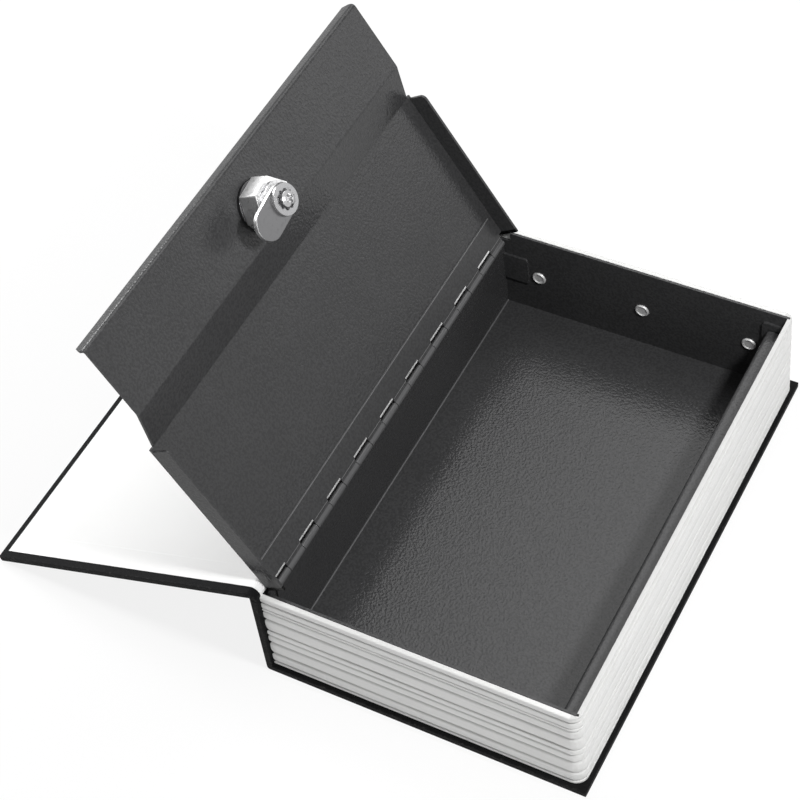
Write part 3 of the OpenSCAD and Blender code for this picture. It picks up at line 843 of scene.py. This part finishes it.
@dataclass
class PageBlock:
    """The moulded imitation pages on three sides of the box."""

    finishes: Finishes
    rim: float = 2.35 * MM
    corner: float = 2.4 * MM
    draft: float = 1.0 * MM
    fold_depth: float = 0.75 * MM
    rim_round: float = 0.5 * MM
    inner_round: float = 0.35 * MM
    grooves: tuple[float, ...] = (0.0, 0.040, 0.166, 0.332, 0.437, 0.516, 0.679, 0.800, 0.839, 0.923, 1.0)
    groove_depths: tuple[float, ...] = (0.6, 0.9, 1.0, 1.0, 0.75, 0.9, 1.0, 0.8, 0.45, 1.0, 0.0)
    fore_share: float = 0.4
    end_notch: float = 0.6 * MM
    wave: float = 0.16
    wave_steps: float = 7.3
    wave_folds: float = 9.0
    side_steps: int = 90
    fore_steps: int = 150
    corner_steps: int = 22
    fold_steps: int = 14

    def build(self) -> None:
        """Makes the moulding: a closed profile carried round the three sides.

        A point lies at inner + (outer - inner) * across + outward * reach. The reach is the widening less
        the fold depth times the dip, which a slow wave varies and which is weaker on the fore side.
        """
        low, high = box_of("page_block")
        self.foot, self.top = low[2], high[2]
        self.height = self.top - self.foot
        self.half = high[1] - self.draft
        self.fore = high[0] - self.draft
        self.spine = low[0]
        inner, outer, outward = self._path()
        lift, across, widening, dip, shade = self._profile()
        along = np.sin(np.arange(len(inner)) / self.wave_steps)
        upward = np.sin(lift * self.wave_folds / self.height)
        wave = 1 + self.wave * along[:, None] * upward[None, :]
        share = self.fore_share + (1 - self.fore_share) * np.abs(outward[:, 1])
        reach = widening[None, :] - self.fold_depth * dip[None, :] * wave * share[:, None]
        base = inner[:, None, :] + (outer - inner)[:, None, :] * across[None, :, None]
        flat = base + outward[:, None, :] * reach[..., None]
        height = np.broadcast_to(self.foot + lift, flat.shape[:2])
        grid = np.concatenate([flat, height[..., None]], axis=-1)
        grid[[0, -1], :, 0] += self.end_notch * dip * across
        piece = surface_from_grid("page_moulding", grid, closed=True, caps=True,
                                  values={"groove_shade": shade[None, :] * share[:, None]})
        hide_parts("page_block")
        seat(piece, self.finishes.pages, Body.CASE)

    def _path(self) -> tuple[np.ndarray, np.ndarray, np.ndarray]:
        """Follows the three sides from the near spine end to the far one.

        On a straight side the inner point lies on the hollow's wall and the outer point a rim's width
        away. At a corner the inner point stays in the hollow's corner, and the outer one turns round the
        centre of the corner's radius.

        Returns:
            The inner points, the outer points and the outward directions, each as count by 2.
        """
        wall = np.array([self.fore, self.half]) - self.rim
        centre = wall - self.corner
        mirror = np.array([1, -1])
        x = np.linspace(self.spine, centre[0], self.side_steps)
        y = np.linspace(-centre[1], centre[1], self.fore_steps)
        near = np.stack([x, np.full_like(x, -wall[1])], axis=-1)
        front = np.stack([np.full_like(y, wall[0]), y], axis=-1)
        turn = arc(-90, 0, self.corner_steps)

        def whole(side: np.ndarray, bend: np.ndarray, middle: np.ndarray) -> np.ndarray:
            """Joins near side, near corner and fore side with the mirror images of the first two."""
            return np.concatenate([side, bend, middle, bend[::-1] * mirror, side[::-1] * mirror])

        inner = whole(near, np.full_like(turn, wall * mirror), front)
        outer = whole(near + (0, -self.rim), centre * mirror + turn * (self.corner + self.rim),
                      front + (self.rim, 0))
        outward = whole(np.full_like(near, (0, -1)), turn, np.full_like(front, (1, 0)))
        return inner, outer, outward

    def _profile(self) -> np.ndarray:
        """Goes once round the section: up the inner wall, over the rim and down the folds.

        A fold stands out just below the groove above it and falls back to the groove below. With p from 1
        at its top to -1 at its foot, its dip is p ** 8 above the middle and p ** 2 below it, and its shade
        |p| ** 14 and |p| ** 3, each times the depth of the groove there. The side widens to its foot by
        the draft.

        Returns:
            Height, share across the rim, widening, dip of the folds and shade of the grooves, as rows.
        """
        h, r, e = self.height, self.rim_round, self.inner_round
        inner_edge = arc(180, 90, 6)[1:]
        outer_edge = arc(90, 0, 9)
        parts = [(np.linspace(0, h - e, 6), 0.0, 0.0, 0.0, 0.0),
                 (h - e + e * inner_edge[:, 1], e / self.rim * (1 + inner_edge[:, 0]), 0.0, 0.0, 0.0),
                 (h - r + r * outer_edge[:, 1], 1.0, r * (outer_edge[:, 0] - 1), 0.0, 0.0)]
        place = np.linspace(1, -1, self.fold_steps + 1)[1:]
        size, upper = np.abs(place), place > 0
        for i in range(len(self.grooves) - 2, -1, -1):
            foot, above = self.grooves[i], self.grooves[i + 1]
            z = foot + (min(above, 1 - r / h) - foot) * (place + 1) / 2
            depth = np.where(upper, self.groove_depths[i + 1] if above < 1 else 0.0, self.groove_depths[i])
            parts.append((z * h, 1.0, self.draft * (1 - z), np.where(upper, size ** 8, size ** 2) * depth,
                          np.where(upper, size ** 14, size ** 3) * depth))
        return np.concatenate([np.stack(np.broadcast_arrays(*part)) for part in parts], axis=1)


class FoldSide(Enum):
    """The side of the bent joint that a layer lies on when the book is open."""

    HOLLOW = "hollow"
    ROUND = "round"


@dataclass(frozen=True)
class JointLayer:
    """One layer of the bending joint between spine and cover."""

    name: str
    inner: float
    outer: float
    inset: float
    side: FoldSide
    slot: Slot


@dataclass
class CoverCase:
    """Boards, leatherette, endpaper and the bending joint between spine and front cover."""

    finishes: Finishes
    thickness: float = 3.05 * MM
    crease: float = 0.3 * MM
    spine_out: float = -3.1 * MM
    slope: float = 20.7241
    middle: float = 55.0
    root: float = 1.5 * MM
    foot_depth: float = 0.1 * MM
    edge: float = 0.42 * MM
    paper_edge: float = 0.06 * MM
    arc_steps: int = 16
    length_steps: int = 60
    layers: tuple[JointLayer, ...] = (
        JointLayer("joint_crease", 0.27 * MM, 1.6 * MM, 0.15 * MM, FoldSide.HOLLOW, Slot.LEATHERETTE),
        JointLayer("joint_cloth", 1.4 * MM, 3.33 * MM, 0.15 * MM, FoldSide.ROUND, Slot.LEATHERETTE),
        JointLayer("joint_paper", 3.34 * MM, 3.58 * MM, 3.8 * MM, FoldSide.ROUND, Slot.ENDPAPER),
    )

    def build(self) -> None:
        """Makes every piece of the case."""
        self._measure()
        for node, body in (("case_wrap", Body.CASE), ("front_wrap", Body.COVER)):
            seat(finer_copy(node, self.edge), self.finishes.leather, body)
        for node in ("back_board", "spine_board", "front_board"):
            dress(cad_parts[node], self.finishes.board)
        for node in ("near_joint", "far_joint"):
            dress(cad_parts[node], self.finishes.leather)
        seat(finer_copy("front_endpaper", self.paper_edge, 2), self.finishes.paper, Body.COVER)
        for layer in self.layers:
            self._joint(layer)

    def _measure(self) -> None:
        """Works out the fold line and the ribs of the joint.

        The fold line lies a crease's width outside the spine, and half the joint's height and a crease
        from the middle of near_joint against the cover's normal. A rib is a foot and a direction. The
        lower ribs go from the spine's top round to the middle of the bend, the upper ones on into the
        cover's root.
        """
        low, high = box_of("near_joint")
        x, z = ((low + high) / 2)[[0, 2]]
        self.half = -low[1]
        self.rim_z = box_of("page_block")[1][2]
        turn = 90 + self.slope
        self.normal, self.along = spoke(turn), spoke(turn + 90)
        self.fold = np.array([self.spine_out - self.crease, 0.0])
        reach = (high[2] - low[2]) / 2 + self.crease + (self.fold[0] - x) * self.normal[0]
        self.fold[1] = z - reach / self.normal[1]
        foot = np.array([self.fold[0], self.rim_z - self.foot_depth])
        self.lower = [(foot, spoke(0))] + [(self.fold, way) for way in arc(0, self.middle, self.arc_steps)]
        self.upper = [(self.fold, way) for way in arc(self.middle, turn, self.arc_steps)]
        self.upper.append((self.fold + self.along * self.root, self.normal))

    def _joint(self, layer: JointLayer) -> None:
        """Makes one layer of the joint as two parts that meet on a plane through the fold.

        The lower part lies between the case and the joint, the upper part between the joint and the cover. The
        lines on which each would turn by half the cover's angle are worked out, but nothing here makes the parts
        bend.

        Args:
            layer: The layer's sizes and finish.
        """
        material = self.finishes.paper if layer.slot is Slot.ENDPAPER else self.finishes.leather
        parts = (("lower", self.lower, Body.CASE, Body.SPINE_CLOTH),
                 ("upper", self.upper, Body.COVER_CLOTH, Body.COVER))
        for (part, ribs, first, last), (start, end) in zip(parts, self._bend_lines(layer.side)):
            near = np.array([place + direction * layer.inner for place, direction in ribs])
            far = np.array([place + direction * layer.outer for place, direction in ribs])
            loop = np.concatenate([near, far[::-1]])
            half = self.half - layer.inset
            lengths = np.linspace(-half, half, self.length_steps)
            grid = np.empty((len(lengths), len(loop), 3))
            grid[..., 0] = loop[:, 0]
            grid[..., 1] = lengths[:, None]
            grid[..., 2] = loop[:, 1]
            piece = surface_from_grid(f"{layer.name}_{part}", grid, closed=True, caps=True)
            dress(piece, material)
            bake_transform(piece)
            log.info("%s bends between %s and %s", piece.name, first.value, last.value)

    def _bend_lines(self, side: FoldSide) -> tuple[tuple[np.ndarray, np.ndarray], ...]:
        """The lines along which the two parts of a layer turn.

        The hollow side turns along the spine's face and then along the cover's. The round side turns
        along the chords of its bend, and starts a little before the bend does.

        Args:
            side: The side that the layer lies on.

        Returns:
            Start and end for the lower part, and the same for the upper part.
        """
        fold = self.fold
        if side is FoldSide.HOLLOW:
            up = np.array([0.0, 1.0])
            rise = fold[1] - self.rim_z
            return ((fold - up * (rise + 1.5 * self.foot_depth), fold + up * self.foot_depth),
                    (fold - self.along * self.crease, fold + self.along * 3 * self.crease))
        radius = self.thickness + self.crease
        first, mid, last = (fold + radius * way for way in (spoke(0), spoke(self.middle), self.normal))
        before = (first - mid) / np.linalg.norm(first - mid)
        return (first + before * self.crease * 2.5, mid), (mid, last)


@dataclass
class SteelBox:
    """The folded tray, its rivets and the leaves of the hinge."""

    finishes: Finishes
    cut_edge: float = 0.15 * MM
    leaf_edge: float = 0.09 * MM
    rivet_edge: float = 0.14 * MM
    rivets: int = 3

    def build(self) -> None:
        """Makes every piece of the box."""
        seat(finer_copy("box_tray", self.cut_edge), self.finishes.tray, Body.CASE)
        seat(finer_copy("box_leaf", self.leaf_edge, 2), self.finishes.box_leaf, Body.CASE)
        seat(finer_copy("hinge_pin", self.leaf_edge, 2), self.finishes.pin, Body.CASE)
        for end in ("near", "far"):
            for number in range(1, self.rivets + 1):
                seat(finer_copy(f"rivet_{end}_{number}", self.rivet_edge), self.finishes.rivet,
                     Body.CASE)


@dataclass
class Lid:
    """The stepped lid with its leaf of the hinge."""

    finishes: Finishes
    cut_edge: float = 0.22 * MM
    leaf_edge: float = 0.09 * MM
    leaf_back: float = 1.1 * MM
    knuckle_face: tuple[Span, ...] = (
        (0.0, 1.8), (0.3, 1.775), (0.6, 1.697), (0.9, 1.559), (1.1, 1.425), (1.25, 1.30),
        (1.5, 1.24), (2.8, 1.24), (2.95, 1.18), (3.1, 1.2), (3.25, 1.7), (3.4, 1.8))

    def build(self) -> None:
        """Makes the lid's own pieces."""
        seat(finer_copy("lid_panel", self.cut_edge), self.finishes.lid, Body.LID)
        leaf = finer_copy("lid_leaf", self.leaf_edge, 2)
        self._shape_knuckles(leaf.data)
        seat(leaf, self.finishes.lid_leaf, Body.LID)

    def _shape_knuckles(self, mesh: bpy.types.Mesh) -> None:
        """Lets the knuckles stand out round from the leaf, with the crease where the sheet is rolled in.

        The face of a knuckle follows its circle, runs level on a lower step and rises again to the leaf.
        knuckle_face holds, in millimetres, how far up the lid a point lies and how far out.

        Args:
            mesh: The mesh of the lid's leaf.
        """
        face = np.array(self.knuckle_face) * MM
        with edited(mesh) as bm:
            for place, _ in face.tolist():
                bmesh.ops.bisect_plane(bm, geom=bm.verts[:] + bm.edges[:] + bm.faces[:], dist=0.001 * MM,
                                       plane_co=HINGE_AXIS + LID_UP * place, plane_no=LID_UP)
        points = points_of(mesh)
        up, out = np.array(LID_UP, np.float32), np.array(LID_OUT, np.float32)
        away = points - np.array(HINGE_AXIS, np.float32)
        rise, height = away @ up, away @ out
        places, heights = face.astype(np.float32).T
        wanted = np.interp(rise, places, heights)
        lowered = (height > self.leaf_back) & (rise > places[0]) & (rise < places[-1])
        points += np.where(lowered, wanted - height, 0.0)[:, None] * out
        mesh.vertices.foreach_set("co", points.ravel())
        mesh.shade_smooth()


@dataclass
class CamLock:
    """The lock through the lid: housing and nut stay, plug, cam and screw turn."""

    finishes: Finishes
    plated_edge: float = 0.35 * MM
    cam_edge: float = 0.6 * MM
    sheet_edge: float = 0.14 * MM
    tooth_edge: float = 0.06 * MM
    screw_edge: float = 0.08 * MM
    facet_angle: float = 20.0
    nut_turn: float = -16.0

    def build(self) -> None:
        """Makes every piece of the lock."""
        looks = self.finishes
        seat(finer_copy("lock_housing", self.plated_edge), looks.chrome, Body.LID)
        seat(finer_copy("nut_washer", self.sheet_edge), looks.shaded, Body.LID)
        seat(self._turned_nut(), looks.nut, Body.LID)
        seat(finer_copy("lock_plug", self.sheet_edge), looks.bright, Body.CAM)
        seat(finer_copy("lock_cam", self.cam_edge), looks.cam, Body.CAM)
        seat(finer_copy("cam_washer", self.sheet_edge), looks.washer, Body.CAM)
        seat(finer_copy("star_washer", self.tooth_edge, 2), looks.shaded, Body.CAM)
        seat(finer_copy("cam_screw", self.screw_edge, 2), looks.bright, Body.CAM)

    def _turned_nut(self) -> Piece:
        """The nut, turned on its thread by nut_turn degrees."""
        nut = finer_copy("lock_nut", self.plated_edge, angle=self.facet_angle)
        low, high = box_of("lock_nut")
        middle = Vector(((low + high) / 2).tolist())
        turn = Matrix.Rotation(math.radians(self.nut_turn), 4, LID_OUT)
        nut.data.transform(Matrix.Translation(middle) @ turn @ Matrix.Translation(-middle))
        return nut


# Stage

@dataclass(frozen=True)
class Viewpoint:
    """The photograph's camera, fitted to the object's edges for a picture of 800 by 800."""

    place: Point = (0.35494, -0.51479, 0.79458)
    right: Point = (0.88153, 0.46261, -0.09433)
    down: Point = (0.30379, -0.70872, -0.63673)
    forward: Point = (-0.36141, 0.53264, -0.76529)
    lens: float = 97.49
    sensor: float = 36.0

    def build(self) -> None:
        """Makes the camera and hands it to the scene."""
        data = bpy.data.cameras.new("viewpoint")
        data.lens = self.lens
        data.sensor_width = self.sensor
        data.clip_start, data.clip_end = 0.05, 20.0
        camera = put("viewpoint", data)
        turn = Matrix((self.right, scaled(self.down, -1), scaled(self.forward, -1))).transposed()
        camera.matrix_world = Matrix.Translation(self.place) @ turn.to_4x4()
        bpy.context.scene.camera = camera


@dataclass(frozen=True)
class Lamp:
    """One soft box: a rectangular lamp that faces a point."""

    name: str
    place: Point
    width: float
    depth: float
    watts: float
    aim: Point = (0.03, 0.0, 0.05)

    def build(self) -> None:
        """Makes the lamp."""
        data = bpy.data.lights.new(self.name, "AREA")
        data.shape = "RECTANGLE"
        data.size, data.size_y = self.width, self.depth
        data.energy = self.watts
        lamp = put(self.name, data)
        lamp.location = self.place
        lamp.rotation_mode = "QUATERNION"
        lamp.rotation_quaternion = (Vector(self.aim) - Vector(self.place)).to_track_quat("-Z", "Y")


@dataclass(frozen=True)
class Studio:
    """A pale floor under soft light, with a white backdrop.

    The near box on the right is the main light. The panel hangs level above the far side and is what the
    bottom of the steel box mirrors. The left box fills what lies in the open lid's shade, the right box
    is mirrored by the far end of the lid, and the low front box lights what faces the near side.
    """

    floor_half: float = 6.0
    floor_colour: Colour = (0.86, 0.86, 0.86)
    shadow_share: float = 0.14
    ambient: float = 0.12
    lamps: tuple[Lamp, ...] = (
        Lamp("near_box", (0.42, -0.106, 0.60), 0.08, 0.08, 3.7),
        Lamp("back_panel", (-0.09, 0.75, 1.2), 0.777, 0.9, 7.2, (-0.09, 0.75, 0.0)),
        Lamp("left_box", (-0.9, 0.15, 0.55), 0.6, 0.6, 10.0, (-0.1, 0.0, 0.03)),
        Lamp("right_box", (0.80, 0.86, 0.36), 0.5, 0.5, 1.1),
        Lamp("front_box", (0.15, -0.95, 0.11), 0.6, 0.14, 1.3),
    )

    def build(self) -> None:
        """Makes floor, world and lamps, and sets how values are shown."""
        self._floor()
        self._world()
        for lamp in self.lamps:
            lamp.build()
        bpy.context.scene.view_settings.view_transform = "Standard"

    def _floor(self) -> None:
        """Makes the floor, which glows white to the camera except where a shadow lies on it."""
        half = self.floor_half
        side = np.linspace(-half, half, 2)
        x, y = np.meshgrid(side, side, indexing="ij")
        grid = np.stack([x, y, np.full_like(x, -0.05 * MM)], axis=-1)
        floor = surface_from_grid("floor", grid[::-1])
        sh = Shader("pale_floor")
        shade = sh.out("ShaderNodeBsdfDiffuse", 0, None, {"Color": (*self.floor_colour, 1.0)})
        glow = sh.out("ShaderNodeEmission", 0, None, {"Color": (1.0, 1.0, 1.0, 1.0), "Strength": 1.0})
        both = sh.out("ShaderNodeMixShader", 0, None,
                      {0: self._seen(sh) * (1 - self.shadow_share), 1: shade, 2: glow})
        sh.node("ShaderNodeOutputMaterial", None, {"Surface": both})
        floor.data.materials.append(sh.material)

    def _world(self) -> None:
        """Lights the scene evenly, and shows white behind it."""
        world = bpy.data.worlds.new("studio")
        graph = Graph(world)
        white = (1.0, 1.0, 1.0, 1.0)
        even = graph.out("ShaderNodeBackground", 0, None, {"Color": white, "Strength": self.ambient})
        plain = graph.out("ShaderNodeBackground", 0, None, {"Color": white, "Strength": 1.0})
        both = graph.out("ShaderNodeMixShader", 0, None, {0: self._seen(graph), 1: even, 2: plain})
        graph.node("ShaderNodeOutputWorld", None, {"Surface": both})
        bpy.context.scene.world = world

    @staticmethod
    def _seen(graph: Graph) -> Sock:
        """1 for the rays that show the background: to the camera, in a mirror or through glass."""
        rays = graph.node("ShaderNodeLightPath")
        direct = Sock(graph, rays.outputs["Is Camera Ray"])
        mirrored = Sock(graph, rays.outputs["Is Glossy Ray"])
        return direct.most(mirrored).most(Sock(graph, rays.outputs["Is Transmission Ray"]))


def main() -> None:
    """Builds the sub-assemblies, the camera and the studio."""
    logging.basicConfig(level=logging.INFO, format="%(name)s: %(message)s")
    finishes = Finishes()
    for part in (PageBlock(finishes), CoverCase(finishes), SteelBox(finishes), Lid(finishes), CamLock(finishes)):
        part.build()
    Viewpoint().build()
    Studio().build()


if __name__ == "__main__":
    main()
